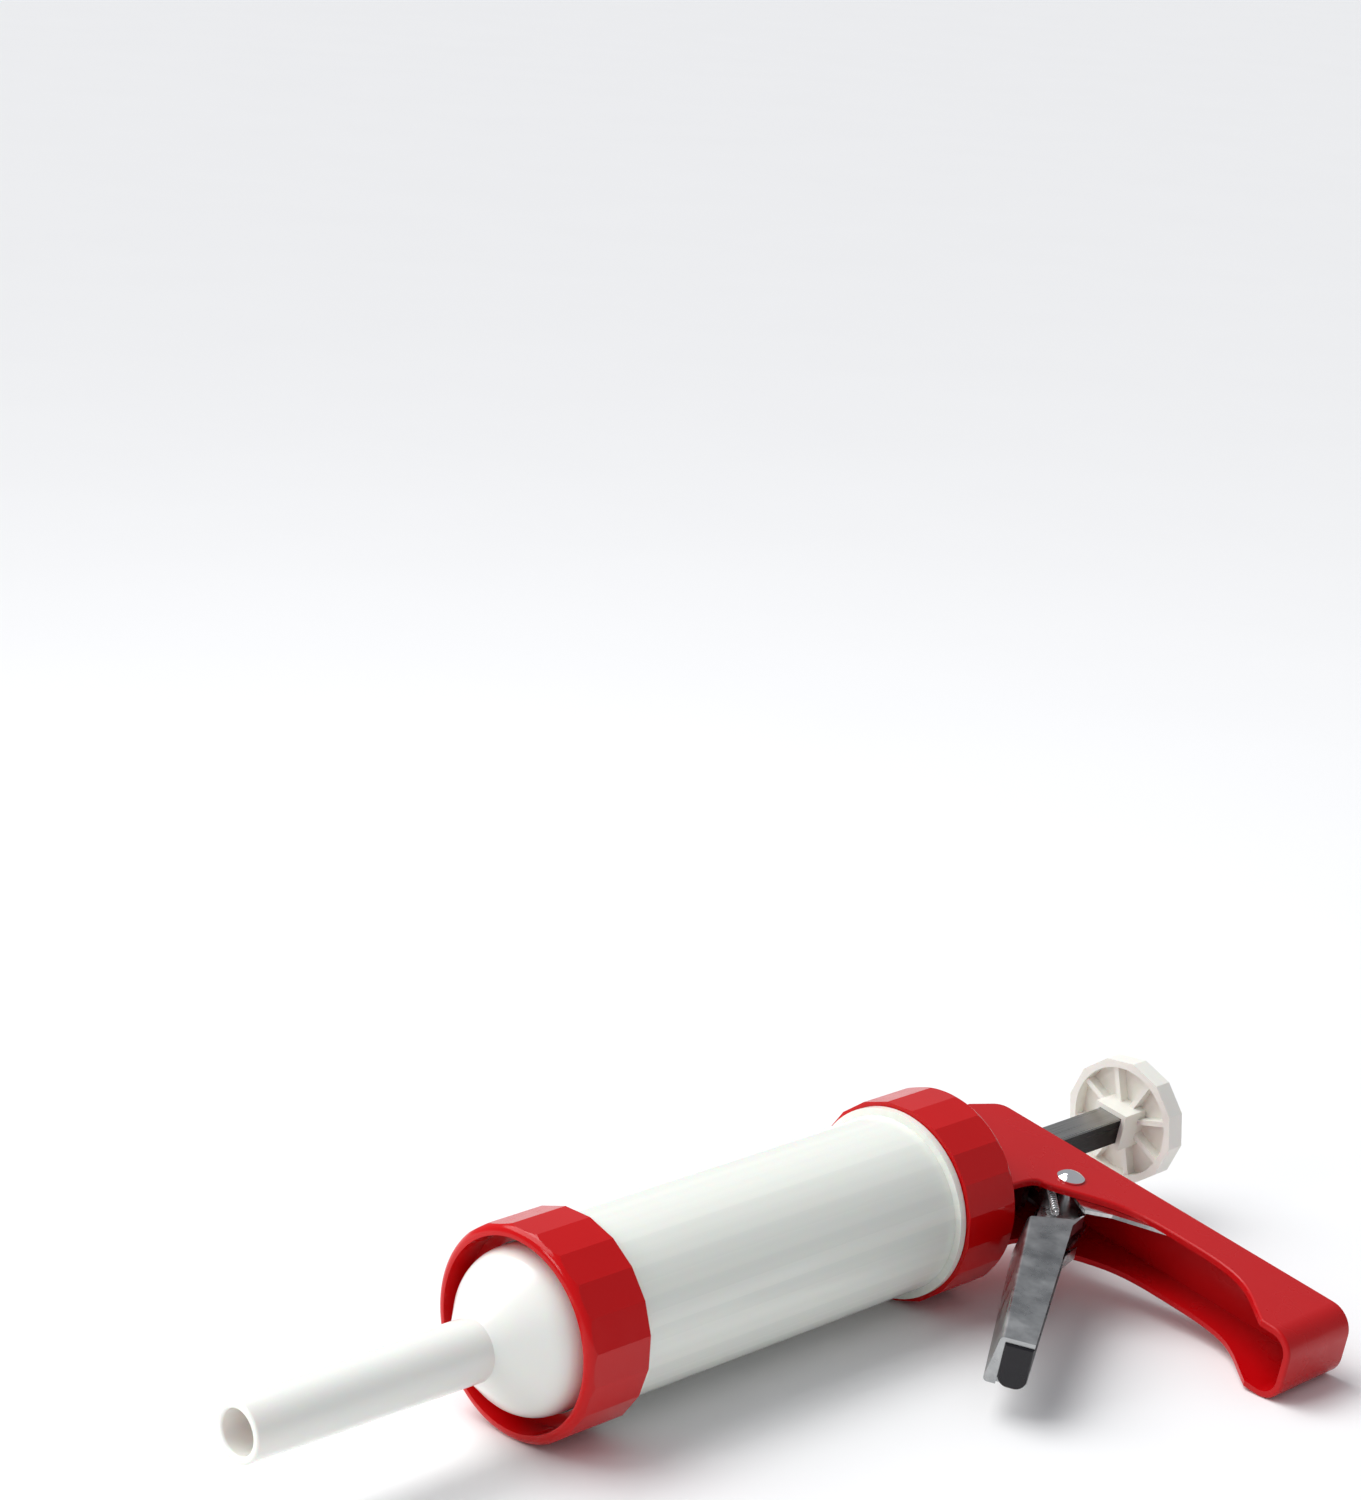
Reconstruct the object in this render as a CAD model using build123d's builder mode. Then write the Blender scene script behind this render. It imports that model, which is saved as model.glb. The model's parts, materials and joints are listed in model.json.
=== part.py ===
"""Hand-held jerky gun: a screw-on nozzle and barrel, a caulking-gun style handle and a square push rod.

Millimetres, +Z up. The gun lies on its side: both collars and the butt of the handle touch the floor,
so the whole gun is rolled about the barrel's axis. Sizes along the barrel are stations, counted
rearwards from the front face of the front collar; sizes across it are counted from the barrel's axis.
"""
from build123d import *
import math
import os

os.makedirs("parts", exist_ok=True)

# ---------------------------------------------------------------- fits
FREE = 0.3          # parts that pass each other without touching
RUNNING = 0.05      # shaft in hole, radial
SEAT = 0.1          # faces that bear on each other

# ---------------------------------------------------------------- barrel
BARREL_RADIUS = 28.5
BARREL_WALL = 2.5
BARREL_BORE = BARREL_RADIUS - BARREL_WALL
BARREL_CLEAR_LENGTH = 140.7   # seen between the two collars
BEAD_HEIGHT = 2.4
BEAD_WIDTH = 2.4
BEAD_RADIUS = BARREL_RADIUS + BEAD_HEIGHT
THREAD_RADIUS = BEAD_RADIUS - 0.5
GASKET_THICKNESS = 1.4

# ---------------------------------------------------------------- collars (one part used twice)
COLLAR_LENGTH = 23.5
COLLAR_SIDES = 20
COLLAR_THREAD = THREAD_RADIUS + FREE
COLLAR_WALL = 1.5
COLLAR_FLAT = COLLAR_THREAD + COLLAR_WALL       # axis to the middle of a flat
COLLAR_RECESS_DEPTH = 9.5
COLLAR_RECESS = COLLAR_THREAD - 1.5
COLLAR_SHELF = 2.5
COLLAR_LIP_ROUND = 3.0

# ---------------------------------------------------------------- nozzle
NOZZLE_REACH = 100.0          # tip, ahead of the front collar
TUBE_TIP_RADIUS = 9.0
TUBE_ROOT_RADIUS = 9.6
TUBE_BORE = 6.6
TUBE_ROOT = 15.6              # where the tube meets the bell, ahead of the collar
BELL_RADIUS = COLLAR_RECESS - 4.0
BELL_WALL = 2.4
FLANGE_THICKNESS = 2.4
FLANGE_RADIUS = COLLAR_THREAD - 0.8
BELL_SLOPE = 46.0

# ---------------------------------------------------------------- rod, piston and knob
ROD_SIDE = 9.5
PISTON_FACE = 70.0            # station of the piston's front face at rest
PISTON_THICKNESS = 6.0
PISTON_RADIUS = BARREL_BORE - FREE
STUD_RADIUS = 3.0
WASHER_THICKNESS = 1.8
NUT_LENGTH = 7.0
NUT_RADIUS = 5.0
WING_SPAN = 13.0
WING_THICKNESS = 2.2
SEAL_SECTION = 1.6
KNOB_RADIUS = 21.8
KNOB_RIM = 2.3
KNOB_DEPTH = 7.0
KNOB_WEB = 2.2
KNOB_SIDES = 12
KNOB_RIBS = 8
KNOB_RIB_THICKNESS = 1.8
KNOB_GAP = 43.5               # spine to the hub at rest
HUB_SIDE = 13.0
HUB_PROUD = 6.5
KNOB_SCREW_RADIUS = 2.0
KNOB_SCREW_HEAD = 4.0
KNOB_SCREW_HEAD_DEPTH = 2.0
KNOB_SCREW_LENGTH = 12.0

# ---------------------------------------------------------------- handle body
BODY_HALF = 12.0              # axis to the outside of a side wall
BODY_WALL = 2.2
BODY_DEPTH = 43.5             # rear collar's back face to the spine
SPINE_CORNER = 5.0
BUTT_CORNER = 9.0
HANDLE_REACH = 131.0          # axis to the end of the butt
BUTT_ROUND = 8.0
BUTT_DEPTH = 31.5
TOE_LENGTH = 13.0
NECK_CLEAR = 0.4
EDGE_ROUND = 0.8
TOP_REACH = 19.0
TOP_SLOPE = 11.0
BULKHEAD = 6.0
GUIDE_FLANGE = 1.2
GUIDE_WALL = 1.8

# ---------------------------------------------------------------- trigger
PIVOT_BACK = 18.0             # spine to the trigger pivot
PIVOT_DROP = 31.0             # axis to the trigger pivot
RIVET_RADIUS = 2.5
RIVET_HEAD = 4.5
RIVET_DOME = 2.2
RIVET_RIM = 0.5
SHEET = 1.5                   # steel sheet of the trigger
TRIGGER_HALF = 8.0
EAR_HALF = 5.0
TRIGGER_ANGLE = 34.1          # below the barrel's axis, at rest
TRIGGER_START = 24.4          # pivot to the shoulder of the grip
TRIGGER_END = 101.0           # pivot to the end of the steel
TRIGGER_FRONT = 10.2          # pivot line to the front of the grip
TRIGGER_BACK_TOP = 3.8
TRIGGER_BACK_END = 0.2
EAR_RADIUS = 10.5
NOSE_RADIUS = 3.0
NOSE_RISE = 18.5              # pivot up to the lobe's nose
NOSE_BACK = 5.0
TRIGGER_FLARE = 2.6           # the web's extra reach at the lower cheek
TRIGGER_BEND = 1.4
TRIGGER_LUG = 7.0
TRIGGER_LUG_START = 14.6
SHOULDER_SLANT = 5.0
CAP_PLUG = 8.0
CAP_FLANGE = 1.5
CAP_PROUD = 0.8
CAP_ROUND = 3.5

# ---------------------------------------------------------------- drive and catch
DOG_THICKNESS = 3.0
DOG_HALF = 8.0
DOG_RISE = 9.0
DOG_DROP = 15.5
DRIVE_WIRE = 1.2
DRIVE_COIL = 7.9
DRIVE_TURNS = 5
CATCH_THICKNESS = 2.0
CATCH_DROP = 12.0
CATCH_TILT = 3.0
CATCH_PIN_RADIUS = 1.2
CATCH_PIN_BACK = 8.5
CATCH_PIN_RISE = 11.0
CATCH_PIN_SOCKET = 1.3        # depth of its seat in each side wall
LEVER_THICKNESS = 1.3
LEVER_TAIL = 40.0
LEVER_WIDTH = 5.0
SMALL_WIRE = 0.6
SMALL_COIL = 1.15

# ---------------------------------------------------------------- stations worked out from the sizes
SHELF_BACK = COLLAR_RECESS_DEPTH + COLLAR_SHELF
FLANGE_FRONT = SHELF_BACK + SEAT
FLANGE_BACK = FLANGE_FRONT + FLANGE_THICKNESS
BARREL_FRONT = FLANGE_BACK + GASKET_THICKNESS + SEAT
REAR_COLLAR = COLLAR_LENGTH + BARREL_CLEAR_LENGTH
REAR_COLLAR_BACK = REAR_COLLAR + COLLAR_LENGTH
BARREL_BACK = REAR_COLLAR_BACK - BARREL_FRONT
BODY_FLANGE_FRONT = REAR_COLLAR_BACK - FLANGE_BACK
BODY_FLANGE_BACK = REAR_COLLAR_BACK - FLANGE_FRONT
BODY_FRONT = REAR_COLLAR_BACK - COLLAR_RECESS_DEPTH + FREE
SPINE = REAR_COLLAR_BACK + BODY_DEPTH
SPINE_INSIDE = SPINE - BODY_WALL
WALL_INSIDE = BODY_HALF - BODY_WALL
BULKHEAD_BACK = BODY_FLANGE_BACK + BULKHEAD
HUB_FRONT = SPINE + KNOB_GAP
KNOB_FRONT = HUB_FRONT + HUB_PROUD
KNOB_BACK = KNOB_FRONT + KNOB_DEPTH
PISTON_BACK = PISTON_FACE + PISTON_THICKNESS
ROD_FRONT = PISTON_BACK + WASHER_THICKNESS
SECTION_LENGTH = HANDLE_REACH + TOP_REACH + 2 * BUTT_ROUND   # its top corners lie above the outline
SECTION_MIDDLE = SECTION_LENGTH / 2 - HANDLE_REACH
PIVOT_X = SPINE - PIVOT_BACK
NOSE_X = PIVOT_X + NOSE_BACK
NOSE_DROP = PIVOT_DROP - NOSE_RISE
DOG_BACK = NOSE_X - NOSE_RADIUS - FREE
DOG_FRONT = DOG_BACK - DOG_THICKNESS
CATCH_PIN_X = SPINE - CATCH_PIN_BACK

# ---------------------------------------------------------------- how the gun lies
round_half = BODY_HALF - BUTT_ROUND
round_reach = HANDLE_REACH - BUTT_ROUND
ROLL = math.degrees(
    math.asin((COLLAR_FLAT - BUTT_ROUND) / math.hypot(round_half, round_reach))
    - math.atan2(round_half, round_reach)
)
tilt = math.radians(ROLL)
butt_extent = round_reach * math.cos(tilt) + round_half * math.sin(tilt) + BUTT_ROUND
collar_corner = COLLAR_FLAT / math.cos(math.pi / COLLAR_SIDES)
AXIS_X = (NOZZLE_REACH - KNOB_BACK) / 2
AXIS_Y = (butt_extent - COLLAR_FLAT) / 2
AXIS_Z = COLLAR_FLAT

# local X runs back along the barrel, local Y away from the handle, local Z out of the upper side wall
gun = Plane(
    origin=(AXIS_X, AXIS_Y, AXIS_Z),
    x_dir=(1, 0, 0),
    z_dir=(0, -math.sin(tilt), math.cos(tilt)),
)
BARREL_AXIS = Axis(gun.origin, gun.x_dir)


def station(x, upright=False):
    """A plane across the barrel at a station. Its local X is away from the handle, or level if upright."""
    across = (0, 1, 0) if upright else gun.y_dir
    return Plane(origin=gun.from_local_coords((x, 0, 0)), x_dir=across, z_dir=gun.x_dir)


def side(height):
    """The side-on plane at a height above the barrel's axis."""
    return gun.offset(height)


def rod_passage(size, start, length):
    """The square bar of space that a hole for the rod takes away, from one station over a length."""
    with BuildPart() as passage:
        with BuildSketch(station(start)):
            Rectangle(size, size)
        extrude(amount=length)
    return passage.part


def coil(start, direction, radius, wire, length, turns):
    """A coil spring of round wire from a point along a direction."""
    with BuildPart() as spring:
        with BuildLine():
            path = Helix(length / turns, length, radius, center=start, direction=direction)
        with BuildSketch(Plane(origin=path @ 0, z_dir=path % 0)):
            Circle(wire / 2)
        sweep(path=path)
    return spring


def save(part, name):
    part.part.label = name
    export_step(part.part, f"parts/{name}.step")


# ---------------------------------------------------------------- nozzle
bell_turn = math.radians(BELL_SLOPE)
bell_start = -TUBE_ROOT + 1.5
bell_round = 13.6
bell_edge_x = 6.0
bell_edge_start = (
    bell_edge_x - bell_round * math.sin(bell_turn),
    BELL_RADIUS - bell_round * (1 - math.cos(bell_turn)),
)
with BuildPart() as nozzle:
    with BuildSketch(gun):
        with BuildLine():
            Line((-NOZZLE_REACH, TUBE_BORE), (-NOZZLE_REACH, TUBE_TIP_RADIUS))
            Line((-NOZZLE_REACH, TUBE_TIP_RADIUS), (-TUBE_ROOT, TUBE_ROOT_RADIUS))
            Line((-TUBE_ROOT, TUBE_ROOT_RADIUS), bell_edge_start)
            TangentArc(
                bell_edge_start,
                (bell_edge_x, BELL_RADIUS),
                tangent=(math.cos(bell_turn), math.sin(bell_turn)),
            )
            Line((bell_edge_x, BELL_RADIUS), (FLANGE_FRONT, BELL_RADIUS))
            Line((FLANGE_FRONT, BELL_RADIUS), (FLANGE_FRONT, FLANGE_RADIUS))
            Line((FLANGE_FRONT, FLANGE_RADIUS), (FLANGE_BACK, FLANGE_RADIUS))
            Line((FLANGE_BACK, FLANGE_RADIUS), (FLANGE_BACK, BELL_RADIUS - BELL_WALL))
            Line((FLANGE_BACK, BELL_RADIUS - BELL_WALL), (bell_edge_x, BELL_RADIUS - BELL_WALL))
            Line((bell_edge_x, BELL_RADIUS - BELL_WALL), (BELL_WALL - TUBE_ROOT, TUBE_BORE))
            Line((BELL_WALL - TUBE_ROOT, TUBE_BORE), (-NOZZLE_REACH, TUBE_BORE))
        make_face()
    revolve(axis=BARREL_AXIS)
    tip_edges = nozzle.edges().filter_by(GeomType.CIRCLE).sort_by(Axis.X)[0:2]
    fillet(tip_edges, 0.7)
save(nozzle, "nozzle")


# ---------------------------------------------------------------- collars
def collar(front, facing):
    """A faceted ring nut whose open, threaded end faces away from its recessed lip."""
    def at(distance):
        return front + facing * distance

    bores = (
        (COLLAR_RECESS, 0, COLLAR_RECESS_DEPTH),
        (BELL_RADIUS + NECK_CLEAR, COLLAR_RECESS_DEPTH, SHELF_BACK),
        (COLLAR_THREAD, SHELF_BACK, COLLAR_LENGTH),
    )
    with BuildPart() as ring:
        with BuildSketch(station(at(0), upright=True)):
            RegularPolygon(COLLAR_FLAT, COLLAR_SIDES, major_radius=False, rotation=180 / COLLAR_SIDES)
        extrude(amount=facing * COLLAR_LENGTH)
        # the lip's outer corner is turned round, so that it scallops the flats
        with BuildSketch(gun):
            with BuildLine():
                Polyline(
                    (at(COLLAR_LIP_ROUND), collar_corner),
                    (at(COLLAR_LENGTH), collar_corner),
                    (at(COLLAR_LENGTH), 0),
                    (at(0), 0),
                    (at(0), collar_corner - COLLAR_LIP_ROUND),
                )
                RadiusArc(
                    (at(0), collar_corner - COLLAR_LIP_ROUND),
                    (at(COLLAR_LIP_ROUND), collar_corner),
                    facing * COLLAR_LIP_ROUND,
                )
            make_face()
        revolve(axis=BARREL_AXIS, mode=Mode.INTERSECT)
        for radius, start, end in bores:
            with BuildSketch(station(at(start))):
                Circle(radius)
            extrude(amount=facing * (end - start), mode=Mode.SUBTRACT)
    return ring


front_collar = collar(0, 1)
save(front_collar, "front_collar")

rear_collar = collar(REAR_COLLAR_BACK, -1)
save(rear_collar, "rear_collar")


# ---------------------------------------------------------------- barrel and gaskets
with BuildPart() as barrel:
    with BuildSketch(gun):
        with BuildLine():
            Polyline(
                (BARREL_FRONT, BARREL_BORE),
                (BARREL_FRONT, THREAD_RADIUS),
                (COLLAR_LENGTH + FREE, THREAD_RADIUS),
                (COLLAR_LENGTH + FREE, BEAD_RADIUS),
                (COLLAR_LENGTH + FREE + BEAD_WIDTH, BEAD_RADIUS),
                (COLLAR_LENGTH + FREE + BEAD_WIDTH, BARREL_RADIUS),
                (REAR_COLLAR - FREE - BEAD_WIDTH, BARREL_RADIUS),
                (REAR_COLLAR - FREE - BEAD_WIDTH, BEAD_RADIUS),
                (REAR_COLLAR - FREE, BEAD_RADIUS),
                (REAR_COLLAR - FREE, THREAD_RADIUS),
                (BARREL_BACK, THREAD_RADIUS),
                (BARREL_BACK, BARREL_BORE),
                close=True,
            )
        make_face()
    revolve(axis=BARREL_AXIS)
save(barrel, "barrel")

for gasket_name, gasket_start in (
    ("front_gasket", FLANGE_BACK + SEAT / 2),
    ("rear_gasket", BARREL_BACK + SEAT / 2),
):
    with BuildPart() as gasket:
        with BuildSketch(station(gasket_start)):
            Circle(FLANGE_RADIUS)
            Circle(BARREL_BORE + SEAT, mode=Mode.SUBTRACT)
        extrude(amount=GASKET_THICKNESS)
    save(gasket, gasket_name)


# ---------------------------------------------------------------- handle body
with BuildPart() as channel:
    with BuildSketch(side(-WALL_INSIDE)) as channel_outline:
        with BuildLine():
            Polyline(
                (BULKHEAD_BACK, -HANDLE_REACH + BODY_WALL),
                (BULKHEAD_BACK, TOP_REACH - BODY_WALL),
                (SPINE - TOP_SLOPE - BODY_WALL / 2, TOP_REACH - BODY_WALL),
                (SPINE_INSIDE, TOP_REACH - SPINE_CORNER - BODY_WALL),
                (SPINE_INSIDE, -HANDLE_REACH + BODY_WALL),
                close=True,
            )
        make_face()
        butt_corner, top_corner = channel_outline.vertices().group_by(Axis.X)[-1].sort_by(Axis.Y)
        fillet(top_corner, SPINE_CORNER - BODY_WALL)
        fillet(butt_corner, BUTT_CORNER - BODY_WALL)
    extrude(amount=2 * WALL_INSIDE)
    with BuildSketch(station(BULKHEAD_BACK)):
        with Locations((SECTION_MIDDLE, 0)):
            RectangleRounded(SECTION_LENGTH - 2 * BODY_WALL, 2 * WALL_INSIDE, BUTT_ROUND - BODY_WALL)
    extrude(amount=SPINE_INSIDE - BULKHEAD_BACK, mode=Mode.INTERSECT)

with BuildPart() as handle_body:
    # side outline: top, spine and butt straight, front edge curved round the fingers
    with BuildSketch(side(-BODY_HALF)) as side_outline:
        with BuildLine():
            Polyline(
                (BODY_FRONT, -24),
                (BODY_FRONT, TOP_REACH),
                (SPINE - TOP_SLOPE, TOP_REACH),
                (SPINE, TOP_REACH - SPINE_CORNER),
                (SPINE, -HANDLE_REACH),
                (SPINE - BUTT_DEPTH, -HANDLE_REACH),
                (SPINE - BUTT_DEPTH + 0.5, -HANDLE_REACH + TOE_LENGTH),
            )
            Spline(
                (SPINE - BUTT_DEPTH + 0.5, -HANDLE_REACH + TOE_LENGTH),
                (SPINE - 17.5, TOE_LENGTH + 18 - HANDLE_REACH),
                (SPINE - 14, (TOE_LENGTH + 18 - HANDLE_REACH) * 0.73),
                (SPINE - 17, -50),
                (SPINE - 28, -29.5),
                (BODY_FRONT + 9, -24.5),
                tangents=((0.75, 1), (-1, 0)),
            )
            Line((BODY_FRONT + 9, -24.5), (BODY_FRONT, -24))
        make_face()
        butt_corner, top_corner = side_outline.vertices().group_by(Axis.X)[-1].sort_by(Axis.Y)
        fillet(top_corner, SPINE_CORNER)
        fillet(butt_corner, BUTT_CORNER)
    extrude(amount=2 * BODY_HALF)
    # rounded butt: the section seen along the barrel
    with BuildSketch(station(BODY_FRONT)):
        with Locations((SECTION_MIDDLE, 0)):
            RectangleRounded(SECTION_LENGTH, 2 * BODY_HALF, BUTT_ROUND)
    extrude(amount=SPINE - BODY_FRONT, mode=Mode.INTERSECT)
    # the rims round the fingers, which the spline draws, and round the toe below them
    toe_middle = gun.from_local_coords((SPINE - BUTT_DEPTH, -HANDLE_REACH + TOE_LENGTH / 2, 0))
    toe = handle_body.faces().sort_by_distance(toe_middle)[0]
    fillet(handle_body.edges().filter_by(GeomType.BSPLINE) + toe.edges(), EDGE_ROUND)
    # the flange that the rear collar holds, and its neck
    for radius, start, end in (
        (FLANGE_RADIUS, BODY_FLANGE_FRONT, BODY_FLANGE_BACK),
        (BELL_RADIUS, BODY_FLANGE_BACK, BULKHEAD_BACK),
    ):
        with BuildSketch(station(start)):
            Circle(radius)
        extrude(amount=end - start)
    # the channel between the side walls, open towards the fingers
    add(channel.part, mode=Mode.SUBTRACT)
    add(
        rod_passage(ROD_SIDE + 2 * (SEAT + GUIDE_WALL), BODY_FLANGE_FRONT, BODY_DEPTH + COLLAR_LENGTH),
        mode=Mode.SUBTRACT,
    )
    # the rivet's hole goes through both walls, and the catch pin's stops inside them
    for x, y, radius, half in (
        (PIVOT_X, -PIVOT_DROP, RIVET_RADIUS, BODY_HALF),
        (CATCH_PIN_X, CATCH_PIN_RISE, CATCH_PIN_RADIUS, WALL_INSIDE + CATCH_PIN_SOCKET),
    ):
        with BuildSketch(side(-half)):
            with Locations((x, y)):
                Circle(radius + RUNNING)
        extrude(amount=2 * half, mode=Mode.SUBTRACT)
save(handle_body, "handle_body")


# ---------------------------------------------------------------- rod guides
guide_outer = ROD_SIDE + 2 * GUIDE_WALL
for guide_name, guide_start, guide_end, flange_start in (
    ("front_guide", BODY_FLANGE_FRONT, BULKHEAD_BACK, BULKHEAD_BACK + SEAT / 2),
    ("rear_guide", SPINE_INSIDE, SPINE, SPINE + SEAT / 2),
):
    with BuildPart() as guide:
        with BuildSketch(station(guide_start)):
            Rectangle(guide_outer, guide_outer)
        extrude(amount=flange_start - guide_start)
        with BuildSketch(station(flange_start)):
            RectangleRounded(guide_outer + 3, guide_outer + 3, 1.5)
        extrude(amount=GUIDE_FLANGE)
        add(
            rod_passage(ROD_SIDE + 2 * RUNNING, guide_start, flange_start + GUIDE_FLANGE - guide_start),
            mode=Mode.SUBTRACT,
        )
    save(guide, guide_name)


# ---------------------------------------------------------------- push rod, knob and its screw
with BuildPart() as push_rod:
    with BuildSketch(station(ROD_FRONT)):
        Rectangle(ROD_SIDE, ROD_SIDE)
    extrude(amount=KNOB_BACK - KNOB_WEB - SEAT - ROD_FRONT)
    chamfer(push_rod.edges().filter_by(Axis.X), 0.4)
    with BuildSketch(station(PISTON_FACE - NUT_LENGTH)):
        Circle(STUD_RADIUS)
    extrude(amount=ROD_FRONT - PISTON_FACE + NUT_LENGTH)
    with BuildSketch(station(KNOB_BACK - KNOB_SCREW_LENGTH)):
        Circle(KNOB_SCREW_RADIUS + RUNNING)
    extrude(amount=KNOB_SCREW_LENGTH, mode=Mode.SUBTRACT)
save(push_rod, "push_rod")

with BuildPart() as knob:
    with BuildSketch(station(KNOB_FRONT)):
        RegularPolygon(KNOB_RADIUS, KNOB_SIDES)
    extrude(amount=KNOB_DEPTH)
    with BuildSketch(station(KNOB_FRONT)):
        Circle(KNOB_RADIUS * math.cos(math.pi / KNOB_SIDES) - KNOB_RIM)
    extrude(amount=KNOB_DEPTH - KNOB_WEB, mode=Mode.SUBTRACT)
    with BuildSketch(station(KNOB_FRONT + 1)):
        with PolarLocations(KNOB_RADIUS / 2, KNOB_RIBS, start_angle=180 / KNOB_RIBS):
            Rectangle(KNOB_RADIUS - KNOB_RIM, KNOB_RIB_THICKNESS)
    extrude(amount=KNOB_DEPTH - KNOB_WEB - 1)
    with BuildSketch(station(HUB_FRONT)):
        Rectangle(HUB_SIDE, HUB_SIDE)
    extrude(amount=KNOB_BACK - HUB_FRONT)
    add(rod_passage(ROD_SIDE + 2 * RUNNING, HUB_FRONT, KNOB_BACK - KNOB_WEB - HUB_FRONT), mode=Mode.SUBTRACT)
    with BuildSketch(station(KNOB_BACK - KNOB_WEB)):
        Circle(KNOB_SCREW_HEAD + SEAT)
    extrude(amount=KNOB_WEB, mode=Mode.SUBTRACT)
save(knob, "knob")

with BuildPart() as knob_screw:
    with BuildSketch(station(KNOB_BACK - KNOB_SCREW_HEAD_DEPTH)):
        Circle(KNOB_SCREW_HEAD)
    extrude(amount=KNOB_SCREW_HEAD_DEPTH)
    with BuildSketch(station(KNOB_BACK - KNOB_SCREW_LENGTH + SEAT)):
        Circle(KNOB_SCREW_RADIUS)
    extrude(amount=KNOB_SCREW_LENGTH - KNOB_SCREW_HEAD_DEPTH - SEAT)
    with BuildSketch(station(KNOB_BACK - 1)):
        Rectangle(1.0, 5.0)
        Rectangle(5.0, 1.0)
    extrude(amount=1, mode=Mode.SUBTRACT)
save(knob_screw, "knob_screw")


# ---------------------------------------------------------------- piston, its seal, washer and wing nut
seal_groove = PISTON_FACE + PISTON_THICKNESS / 2
with BuildPart() as piston:
    with BuildSketch(gun):
        with BuildLine():
            Polyline(
                (PISTON_FACE, STUD_RADIUS + RUNNING),
                (PISTON_FACE, PISTON_RADIUS - 1),
                (PISTON_FACE + 1, PISTON_RADIUS),
                (seal_groove - SEAL_SECTION / 2 - SEAT, PISTON_RADIUS),
                (seal_groove - SEAL_SECTION / 2 - SEAT, PISTON_RADIUS - SEAL_SECTION),
                (seal_groove + SEAL_SECTION / 2 + SEAT, PISTON_RADIUS - SEAL_SECTION),
                (seal_groove + SEAL_SECTION / 2 + SEAT, PISTON_RADIUS),
                (PISTON_BACK - 1, PISTON_RADIUS),
                (PISTON_BACK, PISTON_RADIUS - 1),
                (PISTON_BACK, STUD_RADIUS + RUNNING),
                close=True,
            )
        make_face()
    revolve(axis=BARREL_AXIS)
save(piston, "piston")

with BuildPart() as piston_seal:
    with BuildSketch(gun):
        with Locations((seal_groove, BARREL_BORE - RUNNING - SEAL_SECTION / 2)):
            Circle(SEAL_SECTION / 2)
    revolve(axis=BARREL_AXIS)
save(piston_seal, "piston_seal")

with BuildPart() as piston_washer:
    with BuildSketch(station(PISTON_BACK + SEAT / 2)):
        Circle(12)
        Circle(STUD_RADIUS + RUNNING, mode=Mode.SUBTRACT)
    extrude(amount=WASHER_THICKNESS - SEAT)
save(piston_washer, "piston_washer")

with BuildPart() as wing_nut:
    with BuildSketch(station(PISTON_FACE - NUT_LENGTH)):
        Circle(NUT_RADIUS)
        Rectangle(2 * WING_SPAN, WING_THICKNESS)
    extrude(amount=NUT_LENGTH - SEAT)
    with BuildSketch(station(PISTON_FACE - NUT_LENGTH)):
        Circle(STUD_RADIUS + RUNNING)
    extrude(amount=NUT_LENGTH, mode=Mode.SUBTRACT)
save(wing_nut, "wing_nut")


# ---------------------------------------------------------------- trigger and its end cap
def trigger_plane(height):
    """Side-on plane at the pivot: local X runs down the trigger, local Y towards the barrel."""
    angle = math.radians(180 + TRIGGER_ANGLE)
    along = gun.x_dir * math.cos(angle) + gun.y_dir * math.sin(angle)
    pivot = gun.from_local_coords((PIVOT_X, -PIVOT_DROP, height))
    return Plane(origin=pivot, x_dir=along, z_dir=-gun.z_dir)


def trigger_station(distance):
    """Plane across the trigger at a distance from the pivot: local X out of the side, local Y to the front."""
    down = trigger_plane(0)
    return Plane(origin=down.from_local_coords((distance, 0, 0)), x_dir=gun.z_dir, z_dir=down.x_dir)


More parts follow.
